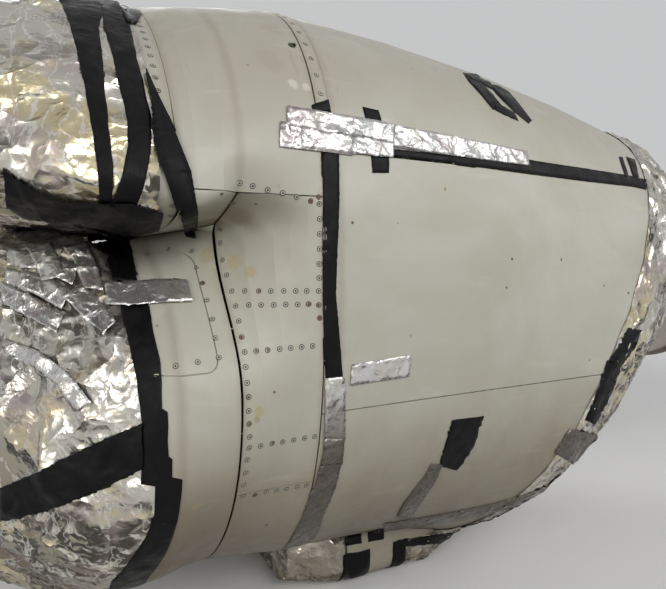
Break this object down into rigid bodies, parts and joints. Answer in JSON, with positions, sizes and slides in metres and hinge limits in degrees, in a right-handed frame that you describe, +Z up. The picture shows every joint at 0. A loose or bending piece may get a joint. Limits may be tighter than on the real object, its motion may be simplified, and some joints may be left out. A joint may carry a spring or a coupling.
{
  "type": "turboprop power unit",
  "caption": "Turboprop engine with its reduction gearbox and cowling: a two-lobe nose with a high intake scoop, side doors, belly oil cooler and canted aft edge, wrapped for storage.",
  "frame": {"origin": "on the propeller shaft's axis, at the middle of the propeller's seat", "axes": "+X aft along the shaft, +Y to starboard, +Z up"},
  "size_m": [3.405, 1.283, 1.5679],
  "materials": {
    "cowl_paint": "worn warm grey paint",
    "frame_alloy": "milled, primed",
    "cast_alloy": "cast",
    "steel": "machined",
    "foil": "crumpled barrier foil",
    "black_tape": "satin cloth tape"
  },
  "bodies": {
    "power_unit": {"forward_lower_cowl": "cowl_paint", "forward_upper_cowl": "cowl_paint", "left_cheek_panel": "cowl_paint", "left_cowl_door": "cowl_paint", "left_lower_door": "cowl_paint", "left_mount_access_panel": "cowl_paint", "left_shoulder_panel": "cowl_paint", "lower_cowl": "cowl_paint", "nose_cowl": "cowl_paint", "oil_cooler_fairing": "cowl_paint", "oil_cooler_flap": "cowl_paint", "right_cheek_panel": "cowl_paint", "right_cowl_door": "cowl_paint", "right_lower_door": "cowl_paint", "right_mount_access_panel": "cowl_paint", "right_shoulder_panel": "cowl_paint", "scoop_cowl": "cowl_paint", "splice_band": "cowl_paint", "upper_cowl": "cowl_paint", "aft_frame": "frame_alloy", "forward_frame": "frame_alloy", "inlet_duct": "frame_alloy", "left_front_mount": "frame_alloy", "left_longeron": "frame_alloy", "middle_frame": "frame_alloy", "right_front_mount": "frame_alloy", "right_longeron": "frame_alloy", "accessory_gearbox": "cast_alloy", "air_inlet_housing": "cast_alloy", "compressor_case": "cast_alloy", "diffuser": "cast_alloy", "fuel_control": "cast_alloy", "gearbox_front_case": "cast_alloy", "gearbox_rear_case": "cast_alloy", "oil_cooler": "cast_alloy", "combustion_case": "steel", "combustion_liners": "steel", "exhaust_case": "steel", "left_tie_strut": "steel", "right_tie_strut": "steel", "ring_gear": "steel", "torquemeter_housing": "steel", "turbine_case": "steel", "aft_foil": "foil", "cooler_foil": "foil", "foil_tape": "foil", "nose_foil": "foil", "scoop_foil": "foil", "black_tape": "black_tape"},
    "rotor": {"torque_shaft": "steel", "compressor_rotor": "steel", "turbine_rotor": "steel"},
    "main_gear": {"main_drive_gear": "steel"},
    "propeller": {"propeller_shaft": "steel"},
    "power_lever_arm": {"power_lever": "steel"},
    "planet_1": {"planet_gear_1": "steel"},
    "planet_2": {"planet_gear_2": "steel"},
    "planet_3": {"planet_gear_3": "steel"},
    "planet_4": {"planet_gear_4": "steel"},
    "planet_5": {"planet_gear_5": "steel"}
  },
  "joints": [
    {"name": "rotor_spin", "type": "hinge", "parent": "power_unit", "child": "rotor", "pos_m": [1.2, 0, 0.264], "axis": [1, 0, 0], "continuous": true},
    {"name": "main_gear_spin", "type": "hinge", "parent": "power_unit", "child": "main_gear", "pos_m": [0.39, 0, 0], "axis": [1, 0, 0], "continuous": true},
    {"name": "propeller_spin", "type": "hinge", "parent": "power_unit", "child": "propeller", "pos_m": [0, 0, 0], "axis": [1, 0, 0], "continuous": true},
    {"name": "power_lever_turn", "type": "hinge", "parent": "power_unit", "child": "power_lever_arm", "pos_m": [1.3853, -0.066, -0.0853], "axis": [0, -1, 0], "range_deg": [0, 90]},
    {"name": "planet_1_spin", "type": "hinge", "parent": "propeller", "child": "planet_1", "pos_m": [0.235, 0.1225, 0], "axis": [1, 0, 0], "continuous": true},
    {"name": "planet_2_spin", "type": "hinge", "parent": "propeller", "child": "planet_2", "pos_m": [0.235, 0.03785, 0.1165], "axis": [1, 0, 0], "continuous": true},
    {"name": "planet_3_spin", "type": "hinge", "parent": "propeller", "child": "planet_3", "pos_m": [0.235, -0.0991, 0.072], "axis": [1, 0, 0], "continuous": true},
    {"name": "planet_4_spin", "type": "hinge", "parent": "propeller", "child": "planet_4", "pos_m": [0.235, -0.0991, -0.072], "axis": [1, 0, 0], "continuous": true},
    {"name": "planet_5_spin", "type": "hinge", "parent": "propeller", "child": "planet_5", "pos_m": [0.235, 0.03785, -0.1165], "axis": [1, 0, 0], "continuous": true}
  ],
  "couplings": [
    {"joint": "main_gear_spin", "follows": "rotor_spin", "ratio": -0.32},
    {"joint": "propeller_spin", "follows": "rotor_spin", "ratio": -0.073143},
    {"joint": "planet_1_spin", "follows": "rotor_spin", "ratio": 0.20788},
    {"joint": "planet_2_spin", "follows": "rotor_spin", "ratio": 0.20788},
    {"joint": "planet_3_spin", "follows": "rotor_spin", "ratio": 0.20788},
    {"joint": "planet_4_spin", "follows": "rotor_spin", "ratio": 0.20788},
    {"joint": "planet_5_spin", "follows": "rotor_spin", "ratio": 0.20788}
  ]
}
